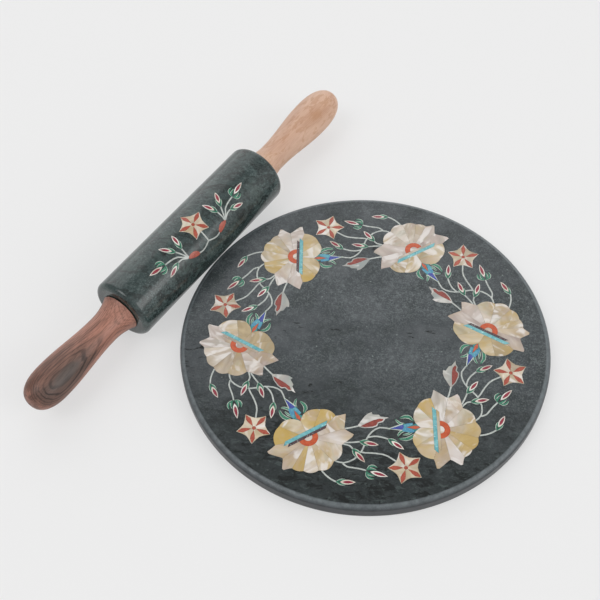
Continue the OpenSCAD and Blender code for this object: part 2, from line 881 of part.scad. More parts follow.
marble_board();
back_petals();
point_petals();
fan_petals();
flower_bars();
shell_strips();
pearl_strips();
half_rings();
half_pearls();
calyx_sepals();
calyx_edgings();
calyx_hearts();
calyx_cups();
calyx_trumpets();
calyx_wedges();
board_stems();
board_bud_frames();
board_bud_cores();
board_bud_sepals();
board_bud_edgings();
star_fields();
star_ribs();
star_eyes();
leaf_shells();
leaf_hearts();
marble_barrel();
sprig_star_field();
sprig_star_ribs();
sprig_star_eye();
sprig_stems();
sprig_bud_frames();
sprig_bud_cores();
sprig_bud_sepals();
sprig_bud_edgings();
sprig_leaves();
axle_rod();
near_bush();
far_bush();
near_washer();
far_washer();
near_insert();
far_insert();
near_handle();
far_handle();
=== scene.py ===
import json
import math

import bpy
import numpy
from mathutils import Matrix, Vector

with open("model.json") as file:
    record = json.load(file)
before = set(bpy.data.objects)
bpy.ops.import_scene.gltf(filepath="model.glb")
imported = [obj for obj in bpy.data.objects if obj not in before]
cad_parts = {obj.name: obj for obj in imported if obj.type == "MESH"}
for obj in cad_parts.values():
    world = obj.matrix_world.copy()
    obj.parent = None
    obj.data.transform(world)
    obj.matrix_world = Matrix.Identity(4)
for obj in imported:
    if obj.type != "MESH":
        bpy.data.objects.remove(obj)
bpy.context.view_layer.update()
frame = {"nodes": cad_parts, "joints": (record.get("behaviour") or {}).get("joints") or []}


# The camera: a little above and in front of the set, as in a catalogue picture. It looks nearly
# at the board's middle, from 0.73 m, with a lens a little longer than normal.
CAMERA_DISTANCE = 0.7273
CAMERA_HEIGHT_ANGLE = math.radians(56.93)
CAMERA_TURN = math.radians(3.63)
CAMERA_TILT = math.radians(2.42)
CAMERA_ROLL = math.radians(2.86)
SENSOR_WIDTH = 36                            # mm
LENS = 62.45                                 # mm
NEAREST_SEEN = 0.01

camera = bpy.data.objects.new("camera", bpy.data.cameras.new("camera"))
bpy.context.scene.collection.objects.link(camera)
bpy.context.scene.camera = camera
camera.data.sensor_width = SENSOR_WIDTH
camera.data.lens = LENS
camera.data.clip_start = NEAREST_SEEN

camera_place = CAMERA_DISTANCE * Vector(
    (0, -math.cos(CAMERA_HEIGHT_ANGLE), math.sin(CAMERA_HEIGHT_ANGLE)))
forward = -camera_place.normalized()
right = forward.cross(Vector((0, 0, 1))).normalized()
up = right.cross(forward)
forward = Matrix.Rotation(CAMERA_TURN, 3, up) @ forward
forward = Matrix.Rotation(CAMERA_TILT, 3, right) @ forward
up = Matrix.Rotation(CAMERA_TILT, 3, right) @ up
level = forward.cross(up).normalized()
up = level.cross(forward)
right = level * math.cos(CAMERA_ROLL) + up * math.sin(CAMERA_ROLL)
up = up * math.cos(CAMERA_ROLL) - level * math.sin(CAMERA_ROLL)
camera_turns = Matrix((right, up, -forward)).transposed()
camera.matrix_world = Matrix.Translation(camera_place) @ camera_turns.to_4x4()


# The table and the light: seamless pale paper in an even, bright room. A white cloth stands
# behind the set, and two windows, at the right and in front at the left, catch the rounded edges.
# A broad pale screen in front at the right fills the sides that they leave dark.
def srgb(code, alpha=1.0):
    """An sRGB hex colour as the linear colour that the shaders take."""
    parts = [int(code[i:i + 2], 16) / 255 for i in (1, 3, 5)]
    return [c / 12.92 if c <= 0.04045 else ((c + 0.055) / 1.055) ** 2.4 for c in parts] + [alpha]


def add(tree, kind, inputs=None, stops=None, **settings):
    """Adds a node with its settings. An input takes a value, or the socket that feeds it."""
    node = tree.nodes.new(kind)
    for name, value in settings.items():
        setattr(node, name, value)
    for key, value in (inputs or {}).items():
        if isinstance(value, bpy.types.NodeSocket):
            tree.links.new(value, node.inputs[key])
        else:
            node.inputs[key].default_value = value
    if stops:
        ramp = node.color_ramp.elements
        while len(ramp) < len(stops):
            ramp.new(1.0)
        for element, (place, colour) in zip(ramp, stops):
            element.position = place
            element.color = srgb(colour)
    return node


PAPER = "#ebebeb"
PAPER_REACH = 30                             # far enough to look endless from the camera
PAPER_BELOW = 0.0002                         # a hair under the set, so the two never mingle
ROOM_LIGHT = 0.56
CLOTH_LIGHT = 1.5
CLOTH_AZIMUTH = math.radians(-10)            # from straight behind, clockwise
CLOTH_HALF_WIDTH = math.radians(36)
CLOTH_TOP = math.radians(57)
SOFT_EDGE = math.radians(8)
# each window's azimuth, height and radius in degrees, and its light; the last is the screen
WINDOWS = [(109, 27, 16, 3.0), (-124, 57, 16, 3.2), (122, 32, 40, 0.95)]

world = bpy.data.worlds.new("studio")
bpy.context.scene.world = world
world.use_nodes = True
world.node_tree.nodes.clear()
sky = world.node_tree
heading = add(sky, "ShaderNodeTexCoord").outputs["Generated"]
parts = add(sky, "ShaderNodeSeparateXYZ", {0: heading}).outputs
azimuth = add(sky, "ShaderNodeMath", {0: parts["X"], 1: parts["Y"]},
              operation="ARCTAN2").outputs[0]
aside = add(sky, "ShaderNodeMath", {0: azimuth, 1: CLOTH_AZIMUTH},
            operation="SUBTRACT").outputs[0]
aside = add(sky, "ShaderNodeMath", {0: aside}, operation="ABSOLUTE").outputs[0]
across = add(sky, "ShaderNodeMapRange", {
    "Value": aside, "From Min": CLOTH_HALF_WIDTH + SOFT_EDGE,
    "From Max": CLOTH_HALF_WIDTH - SOFT_EDGE}, interpolation_type="SMOOTHSTEP").outputs[0]
below = add(sky, "ShaderNodeMapRange", {
    "Value": parts["Z"], "From Min": math.sin(CLOTH_TOP + SOFT_EDGE / 2),
    "From Max": math.sin(CLOTH_TOP - SOFT_EDGE / 2)}, interpolation_type="SMOOTHSTEP").outputs[0]
cloth = add(sky, "ShaderNodeMath", {0: across, 1: below}, operation="MULTIPLY").outputs[0]
light = add(sky, "ShaderNodeMapRange", {
    "Value": cloth, "To Min": ROOM_LIGHT, "To Max": CLOTH_LIGHT}).outputs[0]
for turn, height, radius, strength in WINDOWS:
    turn, height, radius = math.radians(turn), math.radians(height), math.radians(radius)
    facing = (math.sin(turn) * math.cos(height), math.cos(turn) * math.cos(height),
              math.sin(height))
    nearness = add(sky, "ShaderNodeVectorMath", {0: heading, 1: facing},
                   operation="DOT_PRODUCT").outputs["Value"]
    pane = add(sky, "ShaderNodeMapRange", {
        "Value": nearness, "From Min": math.cos(radius + SOFT_EDGE / 2),
        "From Max": math.cos(radius - SOFT_EDGE / 2), "To Max": strength - ROOM_LIGHT},
        interpolation_type="SMOOTHSTEP").outputs[0]
    light = add(sky, "ShaderNodeMath", {0: light, 1: pane}).outputs[0]
shine = add(sky, "ShaderNodeBackground", {"Color": srgb("#ffffff"), "Strength": light})
add(sky, "ShaderNodeOutputWorld", {"Surface": shine.outputs[0]})

paper_corners = [(x * PAPER_REACH, y * PAPER_REACH, -PAPER_BELOW)
                 for x, y in ((-1, -1), (1, -1), (1, 1), (-1, 1))]
paper_mesh = bpy.data.meshes.new("paper")
paper_mesh.from_pydata(paper_corners, [], [(0, 1, 2, 3)])
paper = bpy.data.objects.new("paper", paper_mesh)
bpy.context.scene.collection.objects.link(paper)


def finish_of(name, roughness, ior=1.5):
    """A new material with its shader: returns the material, its node tree and the shader."""
    made = bpy.data.materials.new(name)
    made.use_nodes = True
    made.node_tree.nodes.clear()
    shader = add(made.node_tree, "ShaderNodeBsdfPrincipled", {"Roughness": roughness, "IOR": ior})
    add(made.node_tree, "ShaderNodeOutputMaterial", {"Surface": shader.outputs[0]})
    return made, made.node_tree, shader


# Matt paper has no shine at all. It glows a little for the camera and in reflections, so that it
# stays even and pale, and its shadows stay soft.
GLOW = 0.62
paper_finish, tree, shader = finish_of("matt_paper", roughness=0.9)
shader.inputs["Base Color"].default_value = srgb(PAPER)
shader.inputs["Specular IOR Level"].default_value = 0.0
rays = add(tree, "ShaderNodeLightPath").outputs
seen = add(tree, "ShaderNodeMath", {0: rays["Is Camera Ray"], 1: rays["Is Glossy Ray"]}).outputs[0]
seen = add(tree, "ShaderNodeMath", {0: seen, 1: rays["Is Transmission Ray"]}).outputs[0]
seen = add(tree, "ShaderNodeMath", {0: seen, 1: GLOW}, operation="MULTIPLY").outputs[0]
glow = add(tree, "ShaderNodeEmission", {"Color": srgb(PAPER), "Strength": 1.0})
sheet = add(tree, "ShaderNodeMixShader", {0: seen, 1: shader.outputs[0], 2: glow.outputs[0]})
tree.links.new(sheet.outputs[0], tree.nodes["Material Output"].inputs["Surface"])
paper_mesh.materials.append(paper_finish)


# The board: one disc of dark green serpentine marble, sawn, turned on its rim and polished. The
# stone is nearly black green with smoky clouds, fine pale grains, and black streaks and blotches
# that all run one way, with the bed of the rock.
MM = 0.001
CLOUD_SIZE = 22 * MM
PATCH_SIZE = 40 * MM                         # of the areas where the pale grains crowd
MOTTLE_SIZE = 2.6 * MM
GRAIN_SIZE = 1.1 * MM
STREAK_SIZE = 3.4 * MM
CRYSTAL_SPACING = 9 * MM
PIT_DEPTH = 0.1 * MM
STREAKS_FROM = 0.20                          # of the streaks' noise less the patches' noise
STREAK_EDGE = 0.09
MARBLE_IOR = 1.52
POLISHED = 0.26                              # roughness
BEDDED = (0.40, 1, 1)                        # drawn out two and a half times along X
FACTOR, FIRST, SECOND, MIXED = 0, 6, 7, 2    # sockets of a colour Mix node


def green_marble(name, shift, bed, roughness, sheen, dark, mid, smoke, flakes):
    """Polished serpentine: for the eye a dark ground that is deep rather than flat, with a low,
    soft shine. Returns the material, its tree and shader, and the socket with its colour."""
    made, tree, shader = finish_of(name, roughness, MARBLE_IOR)
    place = add(tree, "ShaderNodeTexCoord").outputs["Object"]
    place = add(tree, "ShaderNodeVectorMath", {0: place, 1: (shift, shift, shift)}).outputs[0]
    bedded = add(tree, "ShaderNodeVectorMath", {0: place, 1: bed}, operation="MULTIPLY").outputs[0]

    # smoky clouds; noise lies mostly between 0.3 and 0.7, and stops and ranges are places on it
    clouds = add(tree, "ShaderNodeTexNoise", {
        "Vector": place, "Scale": 1 / CLOUD_SIZE, "Detail": 10, "Roughness": 0.62,
        "Distortion": 0.3}).outputs[0]
    ground = add(tree, "ShaderNodeValToRGB", {0: clouds}, [
        (0.34, dark), (0.50, mid), (0.70, smoke)]).outputs[0]

    # pale mottle and grains, thick in some areas and thin in others
    patches = add(tree, "ShaderNodeTexNoise", {
        "Vector": bedded, "Scale": 1 / PATCH_SIZE, "Detail": 3, "Roughness": 0.6}).outputs[0]
    mottle = add(tree, "ShaderNodeTexNoise", {
        "Vector": place, "Scale": 1 / MOTTLE_SIZE, "Detail": 5, "Roughness": 0.75,
        "Distortion": 0.6}).outputs[0]
    grains = add(tree, "ShaderNodeTexNoise", {
        "Vector": place, "Scale": 1 / GRAIN_SIZE, "Detail": 2, "Roughness": 0.6}).outputs[0]
    crowded = add(tree, "ShaderNodeMapRange", {
        "Value": patches, "From Min": 0.36, "From Max": 0.62, "To Min": 0.20,
        "To Max": 0.80}).outputs[0]
    for pattern, start, end in ((mottle, 0.48, 0.68), (grains, 0.52, 0.70)):
        pale = add(tree, "ShaderNodeMapRange", {
            "Value": pattern, "From Min": start, "From Max": end, "To Max": crowded}).outputs[0]
        ground = add(tree, "ShaderNodeMix", {
            FACTOR: pale, FIRST: ground, SECOND: srgb(flakes)}, data_type="RGBA").outputs[MIXED]

    # black streaks, where the pale grains are thin
    streaks = add(tree, "ShaderNodeTexNoise", {
        "Vector": bedded, "Scale": 1 / STREAK_SIZE, "Detail": 4, "Roughness": 0.65,
        "Distortion": 0.5}).outputs[0]
    spread = add(tree, "ShaderNodeMath", {0: streaks, 1: patches}, operation="SUBTRACT").outputs[0]
    black = add(tree, "ShaderNodeMapRange", {
        "Value": spread, "From Min": STREAKS_FROM,
        "From Max": STREAKS_FROM + STREAK_EDGE}).outputs[0]
    ground = add(tree, "ShaderNodeMix", {
        FACTOR: black, FIRST: ground, SECOND: srgb("#0c1312")}, data_type="RGBA").outputs[MIXED]

    # single pale crystals
    crystals = add(tree, "ShaderNodeTexVoronoi", {
        "Vector": place, "Scale": 1 / CRYSTAL_SPACING, "Randomness": 1.0}).outputs["Distance"]
    crystal = add(tree, "ShaderNodeMapRange", {
        "Value": crystals, "From Min": 0.03, "From Max": 0.08, "To Min": 0.6,
        "To Max": 0.0}).outputs[0]
    ground = add(tree, "ShaderNodeMix", {
        FACTOR: crystal, FIRST: ground, SECOND: srgb("#8e9996")}, data_type="RGBA").outputs[MIXED]

    shader.inputs["Specular IOR Level"].default_value = sheen
    pits = add(tree, "ShaderNodeBump", {
        "Height": grains, "Strength": 0.10, "Distance": PIT_DEPTH})
    tree.links.new(pits.outputs[0], shader.inputs["Normal"])
    return made, tree, shader, ground


board_marble, tree, shader, ground = green_marble(
    "polished_green_marble", shift=0.0, bed=BEDDED, roughness=POLISHED, sheen=0.30,
    dark="#303637", mid="#3d4245", smoke="#4f5356", flakes="#6b7273")
place = add(tree, "ShaderNodeTexCoord").outputs["Object"]

# Painted shade: the stone is painted blacker and greener toward the side that faces the cook,
# where its sheen falls away. Black blots and pale flakes of the stone come in with the same share.
FRONT_FROM = -15 * MM
FRONT_TO = -110 * MM
FRONT_SHADE_AND_BLOT_SHARE = 0.75
BLOT_SIZE = 6.5 * MM
FLAKE_SIZE = 2.8 * MM
front_shade_and_blots = add(tree, "ShaderNodeSeparateXYZ", {0: place}).outputs["Y"]
front_shade_and_blots = add(tree, "ShaderNodeMapRange", {
    "Value": front_shade_and_blots, "From Min": FRONT_FROM, "From Max": FRONT_TO,
    "To Max": FRONT_SHADE_AND_BLOT_SHARE}).outputs[0]
# painted shade toward the front
ground = add(tree, "ShaderNodeMix", {
    FACTOR: front_shade_and_blots, FIRST: ground, SECOND: srgb("#141c1b")}, data_type="RGBA").outputs[MIXED]


def blotted(tree, ground, place, strength):
    """The stone's colour with black blots and pale flakes in it, drawn out along its bed."""
    bedded = add(tree, "ShaderNodeVectorMath", {0: place, 1: (0.5, 1, 1)},
                 operation="MULTIPLY").outputs[0]
    for size, start, end, share, colour in (
            (BLOT_SIZE, 0.50, 0.57, 1.0, "#040807"), (FLAKE_SIZE, 0.56, 0.66, 0.55, "#5a6664")):
        blots = add(tree, "ShaderNodeTexNoise", {
            "Vector": bedded, "Scale": 1 / size, "Detail": 4, "Roughness": 0.65,
            "Distortion": 0.8}).outputs[0]
        blots = add(tree, "ShaderNodeMapRange", {
            "Value": blots, "From Min": start, "From Max": end, "To Max": share}).outputs[0]
        blots = add(tree, "ShaderNodeMath", {0: blots, 1: strength},
                    operation="MULTIPLY").outputs[0]
        ground = add(tree, "ShaderNodeMix", {
            FACTOR: blots, FIRST: ground, SECOND: srgb(colour)}, data_type="RGBA").outputs[MIXED]
    return ground


ground = blotted(tree, ground, place, front_shade_and_blots)

# Its rounded edge is honed by hand and not polished, so it has a broader shine. Its paler top is a
# painted highlight, and the darker side below it is painted shade, both mottled.
HONED_FROM = 123.2 * MM                      # from the board's middle
HONED_BY = 124.0 * MM
SIDE_BELOW = 9.6 * MM                        # above the table
EDGE_ABOVE = 11.7 * MM
RIM_MOTTLE_SIZE = 4 * MM
HONED = 0.36                                 # roughness
flat = add(tree, "ShaderNodeVectorMath", {0: place, 1: (1, 1, 0)}, operation="MULTIPLY").outputs[0]
reach = add(tree, "ShaderNodeVectorMath", {0: flat}, operation="LENGTH").outputs["Value"]
honed_and_highlit_rim = add(tree, "ShaderNodeMapRange", {
    "Value": reach, "From Min": HONED_FROM, "From Max": HONED_BY}).outputs[0]
height = add(tree, "ShaderNodeSeparateXYZ", {0: place}).outputs["Z"]
height = add(tree, "ShaderNodeMapRange", {
    "Value": height, "From Min": SIDE_BELOW, "From Max": EDGE_ABOVE}).outputs[0]
# painted highlight toward the top of the rounded edge, painted shade down the side below it
edge = add(tree, "ShaderNodeValToRGB", {0: height}, [(0.0, "#3b3d41"), (1.0, "#70777a")]).outputs[0]
rim_light_and_shade_share = add(tree, "ShaderNodeTexNoise", {
    "Vector": place, "Scale": 1 / RIM_MOTTLE_SIZE, "Detail": 5, "Roughness": 0.7}).outputs[0]
rim_light_and_shade_share = add(tree, "ShaderNodeMapRange", {
    "Value": rim_light_and_shade_share, "From Min": 0.35, "From Max": 0.65, "To Min": 0.45, "To Max": 0.95}).outputs[0]
rim_light_and_shade_share = add(tree, "ShaderNodeMath", {0: rim_light_and_shade_share, 1: honed_and_highlit_rim}, operation="MULTIPLY").outputs[0]
edge = add(tree, "ShaderNodeMix", {FACTOR: rim_light_and_shade_share, FIRST: ground, SECOND: edge},
           data_type="RGBA").outputs[MIXED]
tree.links.new(edge, shader.inputs["Base Color"])
satin = add(tree, "ShaderNodeMapRange", {
    "Value": honed_and_highlit_rim, "To Min": POLISHED, "To Max": HONED}).outputs[0]
tree.links.new(satin, shader.inputs["Roughness"])

nodes = frame["nodes"]


def dress(finish, *names):
    """Gives CAD nodes their finish."""
    for name in names:
        nodes[name].data.materials.clear()
        nodes[name].data.materials.append(finish)


dress(board_marble, "marble_board")


# The petals: thin slices of mother-of-pearl, sawn to shape and ground flush with the stone. Each
# slice is cut from another place in the shell, so its bands and its tone differ, and some of the
# flowers have more of the yellow shell than others.
BAND_SIZE = 11 * MM
GOLD_SIZE = 16 * MM
GLINT_SIZE = 6.5 * MM
RIPPLE_SIZE = 9 * MM
RIPPLE_DEPTH = 0.5 * MM
SHELL_ROUGHNESS = 0.22
SHELL_IOR = 1.53
SHELL_SHINE = 0.35
TONE_SPREAD = 0.08                           # how far a slice may be lighter or darker
GOLD_SPREAD = 0.14                           # and how far more or less golden
YELLOWNESS = (0.14, 0.09, 0.03, -0.10, 0.10, -0.12)    # of the flowers, round from the front one
YELLOW_LIFT = 0.35                           # how much lighter the yellow shell is
GOLD_FROM, GOLD_BY = 0.38, 0.80              # on the noise
GLINT_EDGE = 0.16
FRONT_FLOWER = math.radians(-111.7)
FLOWER_STEP = math.radians(60)


def mark_slices(mesh):
    """Gives each face its slice's number, which is the slice's lowest vertex, and the yellowness
    of the flower on its side of the board."""
    ends = numpy.array([edge.vertices[:] for edge in mesh.edges])
    lowest = numpy.arange(len(mesh.vertices))
    before = None
    while before is None or (before != lowest).any():
        before = lowest.copy()
        for one, other in ((0, 1), (1, 0)):
            numpy.minimum.at(lowest, ends[:, one], lowest[ends[:, other]])
    corners = [face.vertices[0] for face in mesh.polygons]
    mesh.attributes.new("slice", "FLOAT", "FACE").data.foreach_set(
        "value", lowest[corners].astype(numpy.float32))
    turns = [math.atan2(face.center.y, face.center.x) - FRONT_FLOWER for face in mesh.polygons]
    yellow = [YELLOWNESS[round(turn / FLOWER_STEP) % len(YELLOWNESS)] for turn in turns]
    mesh.attributes.new("yellowness", "FLOAT", "FACE").data.foreach_set("value", yellow)


def mother_of_pearl(name, dull, warm, light, gold_share):
    """Ground and polished shell: for the eye a soft sheen over bands of three tones, which turn
    golden in places, with painted glints of white, rose and sea green."""
    made, tree, shader = finish_of(name, SHELL_ROUGHNESS, SHELL_IOR)
    shader.inputs["Specular IOR Level"].default_value = SHELL_SHINE
    place = add(tree, "ShaderNodeTexCoord").outputs["Object"]
    number = add(tree, "ShaderNodeAttribute", attribute_name="slice").outputs["Fac"]
    draws = add(tree, "ShaderNodeTexWhiteNoise", {"W": number},
                noise_dimensions="1D").outputs["Color"]
    draws = add(tree, "ShaderNodeSeparateXYZ", {0: draws}).outputs
    angle = add(tree, "ShaderNodeMath", {0: draws["X"], 1: 2 * math.pi},
                operation="MULTIPLY").outputs[0]
    turned = add(tree, "ShaderNodeVectorRotate", {
        "Vector": place, "Axis": (0, 0, 1), "Angle": angle},
        rotation_type="AXIS_ANGLE").outputs[0]
    layers = add(tree, "ShaderNodeVectorMath", {0: turned, 1: (1, 0.45, 1)},
                 operation="MULTIPLY").outputs[0]
    tone = add(tree, "ShaderNodeTexNoise", {
        "Vector": layers, "Scale": 1 / BAND_SIZE, "Detail": 3, "Roughness": 0.5,
        "Distortion": 0.6}).outputs[0]
    draw = add(tree, "ShaderNodeMapRange", {
        "Value": draws["Y"], "To Min": -TONE_SPREAD, "To Max": TONE_SPREAD}).outputs[0]
    tone = add(tree, "ShaderNodeMath", {0: tone, 1: draw}).outputs[0]
    yellow = add(tree, "ShaderNodeAttribute", attribute_name="yellowness").outputs["Fac"]
    brighter = add(tree, "ShaderNodeMath", {0: yellow, 1: YELLOW_LIFT},
                   operation="MULTIPLY").outputs[0]
    tone = add(tree, "ShaderNodeMath", {0: tone, 1: brighter}).outputs[0]
    nacre = add(tree, "ShaderNodeValToRGB", {0: tone}, [
        (0.34, dull), (0.50, warm), (0.66, light)]).outputs[0]

    gold = add(tree, "ShaderNodeTexNoise", {
        "Vector": place, "Scale": 1 / GOLD_SIZE, "Detail": 2, "Roughness": 0.6}).outputs[0]
    gold = add(tree, "ShaderNodeMath", {0: gold, 1: yellow}).outputs[0]
    gold_draw = add(tree, "ShaderNodeMapRange", {
        "Value": draws["Z"], "To Min": -GOLD_SPREAD, "To Max": GOLD_SPREAD}).outputs[0]
    gold = add(tree, "ShaderNodeMath", {0: gold, 1: gold_draw}).outputs[0]
    gold = add(tree, "ShaderNodeMapRange", {
        "Value": gold, "From Min": GOLD_FROM, "From Max": GOLD_BY, "To Max": gold_share},
        interpolation_type="SMOOTHSTEP").outputs[0]
    nacre = add(tree, "ShaderNodeMix", {
        FACTOR: gold, FIRST: nacre, SECOND: srgb("#ba9b49")}, data_type="RGBA").outputs[MIXED]

    # painted glints: patches of white, rose and sea green stand in for the shell's shifting shine
    glint_pattern = add(tree, "ShaderNodeTexNoise", {
        "Vector": layers, "Scale": 1 / GLINT_SIZE, "Detail": 2, "Distortion": 0.8}).outputs["Color"]
    glint_pattern = add(tree, "ShaderNodeSeparateXYZ", {0: glint_pattern}).outputs
    for part, start, share, colour in (
            ("X", 0.50, 0.32, "#bba89f"), ("Y", 0.53, 0.28, "#a6ada1"),
            ("Z", 0.52, 0.70, "#e4e0dd")):
        painted_glint = add(tree, "ShaderNodeMath", {0: glint_pattern[part], 1: draw}).outputs[0]
        painted_glint = add(tree, "ShaderNodeMapRange", {
            "Value": painted_glint, "From Min": start, "From Max": start + GLINT_EDGE, "To Max": share},
            interpolation_type="SMOOTHSTEP").outputs[0]
        nacre = add(tree, "ShaderNodeMix", {
            FACTOR: painted_glint, FIRST: nacre, SECOND: srgb(colour)}, data_type="RGBA").outputs[MIXED]
    tree.links.new(nacre, shader.inputs["Base Color"])

    ripple = add(tree, "ShaderNodeTexNoise", {
        "Vector": layers, "Scale": 1 / RIPPLE_SIZE, "Detail": 1}).outputs[0]
    folds = add(tree, "ShaderNodeBump", {
        "Height": ripple, "Strength": 0.12, "Distance": RIPPLE_DEPTH})
    tree.links.new(folds.outputs[0], shader.inputs["Normal"])
    return made


def dress_in_shell(finish, *names):
    """As dress(), for nodes of shell slices, which are marked first."""
    for name in names:
        mark_slices(nodes[name].data)
    dress(finish, *names)


golden_pearl = mother_of_pearl("polished_golden_pearl", "#a59373", "#bdaa88", "#d0c4ae", 0.80)
dress_in_shell(golden_pearl, "back_petals")
rose_pearl = mother_of_pearl("polished_rose_pearl", "#a2948d", "#b8aba2", "#d2cac5", 0.45)
dress_in_shell(rose_pearl, "point_petals")
cream_pearl = mother_of_pearl("polished_cream_pearl", "#a09283", "#b7aa98", "#d1c8bd", 0.70)
dress_in_shell(cream_pearl, "fan_petals", "pearl_strips")


# The flower's middle: a bar of turquoise, a strip of shell beside it, and a half ring of orange
# red stone round half a pearl, all in the same seat as the petals. The strip is of dark abalone
# at every second flower, and of pale shell at the others.
SLICE_ROUGHNESS = 0.22
SLICE_IOR = 1.55


def speckled(name, ground, second, patch_size, specks, speck_share, speck_size,
             roughness=SLICE_ROUGHNESS):
    """A stone cut thin and polished flush: for the eye a clear, even colour with a small shine,
    in two close tones, with fine specks of a third."""
    made, tree, shader = finish_of(name, roughness, SLICE_IOR)
    place = add(tree, "ShaderNodeTexCoord").outputs["Object"]
    tone = add(tree, "ShaderNodeTexNoise", {
        "Vector": place, "Scale": 1 / patch_size, "Detail": 4, "Roughness": 0.6}).outputs[0]
    body = add(tree, "ShaderNodeValToRGB", {0: tone}, [(0.36, ground), (0.64, second)]).outputs[0]
    grains = add(tree, "ShaderNodeTexNoise", {
        "Vector": place, "Scale": 1 / speck_size, "Detail": 2}).outputs[0]
    grains = add(tree, "ShaderNodeMapRange", {
        "Value": grains, "From Min": 0.60, "From Max": 0.70, "To Max": speck_share}).outputs[0]
    body = add(tree, "ShaderNodeMix", {
        FACTOR: grains, FIRST: body, SECOND: srgb(specks)}, data_type="RGBA").outputs[MIXED]
    tree.links.new(body, shader.inputs["Base Color"])
    return made


dress(speckled("polished_turquoise", "#529aa2", "#7dbabf", 4 * MM, "#bfe0e0", 0.6, 1.6 * MM),
      "flower_bars")
dress(speckled("polished_dark_abalone", "#35272b", "#5a4247", 3 * MM, "#a9aaa6", 0.8, 0.9 * MM),
      "shell_strips")
dress(speckled("polished_orange_coral", "#b04623", "#c3582f", 3 * MM, "#d4814f", 0.4, 0.8 * MM),
      "half_rings")
dress_in_shell(rose_pearl, "half_pearls")


# The calyx: malachite sepals edged with pale shell, a trumpet of lapis, a sky blue heart, and in
# it a cup of blue green stone that is split by a wedge of brick red jasper, all thin slices that
# are cut and seated as the petals are.
malachite = speckled("polished_malachite", "#276a54", "#41876b", 2.2 * MM, "#74b593", 0.5, 0.7 * MM)
pale_shell = speckled("polished_pale_shell", "#aebcb0", "#cdd8cc", 2 * MM, "#e4ebe2", 0.5, 0.8 * MM)
dress(malachite, "calyx_sepals", "board_bud_sepals", "sprig_bud_sepals")
dress(pale_shell, "calyx_edgings", "board_bud_edgings", "sprig_bud_edgings")
dress(speckled("polished_sky_turquoise", "#4384a8", "#589fab", 4 * MM, "#9fcfd3", 0.6, 1.2 * MM),
      "calyx_hearts")
dress(speckled("polished_teal_stone", "#236e70", "#3f9392", 3 * MM, "#7fc0b4", 0.4, 0.8 * MM),
      "calyx_cups")
dress(speckled("polished_lapis", "#2a388a", "#4051a6", 3 * MM, "#c9b36a", 0.5, 0.5 * MM),
      "calyx_trumpets")
dress(speckled("polished_brick_jasper", "#a9492f", "#c25c3f", 2 * MM, "#d98f70", 0.4, 0.7 * MM),
      "calyx_wedges")


# The stems: narrow slips of grey white shell, sawn to their curves and set end to end with the
# leaves and buds, on the board and on the barrel.
grey_shell = speckled("polished_grey_shell", "#a4aaa6", "#c0c5c0", 3 * MM, "#dfe2de", 0.5, 0.9 * MM)
dress(grey_shell, "board_stems", "sprig_stems")


# The buds: a dark red core in a pointed frame of white shell, between green sepals. Each of them
# is a few thin slices, fitted edge to edge.
garnet = speckled("polished_garnet", "#7e2335", "#963141", 3 * MM, "#c4525a", 0.4, 0.8 * MM)
dress(garnet, "board_bud_cores", "sprig_bud_cores")
white_pearl = mother_of_pearl("polished_white_pearl", "#c4bbb2", "#d8d0c8", "#f1ece6", 0.15)
dress_in_shell(white_pearl, "board_bud_frames", "sprig_bud_frames")


# The stars: five slices of cream shell, parted by five ribs of brick red stone round an eye. The
# sprig's leaves are sawn from the same red stone.
star_pearl = mother_of_pearl("polished_star_pearl", "#a69884", "#bbad97", "#dcd3c5", 0.20)
dress_in_shell(star_pearl, "star_fields", "sprig_star_field")
red_stone = speckled("polished_red_stone", "#963f2e", "#ab513d", 3 * MM, "#c97a5c", 0.5, 0.9 * MM)
dress(red_stone, "star_ribs", "sprig_star_ribs", "star_eyes", "sprig_star_eye", "sprig_leaves")


# The lobed leaves: white shell, sawn to its lobes, round a heart of red brown carnelian that has
# its own seat in the shell.
leaf_pearl = mother_of_pearl("polished_leaf_pearl", "#929896", "#a8a9a5", "#c8c7c2", 0.05)
dress_in_shell(leaf_pearl, "leaf_shells")
dress(speckled("polished_carnelian", "#78302a", "#924136", 3 * MM, "#ad5c4a", 0.4, 0.9 * MM),
      "leaf_hearts")


# The pin's barrel: a turned and drilled roller of the same marble, from a greener block that has
# no clear bed. It is polished more than the board, so its highlights are smaller and brighter.
BLOCK_SHIFT = 0.37                           # so that its pattern isn't the board's
BARREL_BLOTS = 0.55
barrel_marble, tree, shader, ground = green_marble(
    "turned_green_marble", shift=BLOCK_SHIFT, bed=(1, 1, 1), roughness=0.15, sheen=0.5,
    dark="#1e2a29", mid="#2b3938", smoke="#43504c", flakes="#5c6a69")
place = add(tree, "ShaderNodeTexCoord").outputs["Object"]
ground = blotted(tree, ground, place, BARREL_BLOTS)
tree.links.new(ground, shader.inputs["Base Color"])
dress(barrel_marble, "marble_barrel")


# The bearing: moulded nylon bushes let into the barrel's ends, a ground steel rod that runs
# through them, turned brass inserts that hold the rod's ends in the handles, and thin brass
# washers that keep the handles off the barrel.
MARK_DEPTH = 0.05 * MM


def turned_metal(name, colour, roughness, mark_size):
    """Metal from the lathe or the grinder: for the eye a bright shine, broken up by tool marks.
    The marks are coarser than real ones, which would be too fine to show."""
    made, tree, shader = finish_of(name, roughness)
    shader.inputs["Base Color"].default_value = srgb(colour)
    shader.inputs["Metallic"].default_value = 1.0
    place = add(tree, "ShaderNodeTexCoord").outputs["Object"]
    lathe = add(tree, "ShaderNodeTexNoise", {
        "Vector": place, "Scale": 1 / mark_size, "Detail": 2}).outputs[0]
    marks = add(tree, "ShaderNodeBump", {"Height": lathe, "Strength": 0.2, "Distance": MARK_DEPTH})
    tree.links.new(marks.outputs[0], shader.inputs["Normal"])
    return made


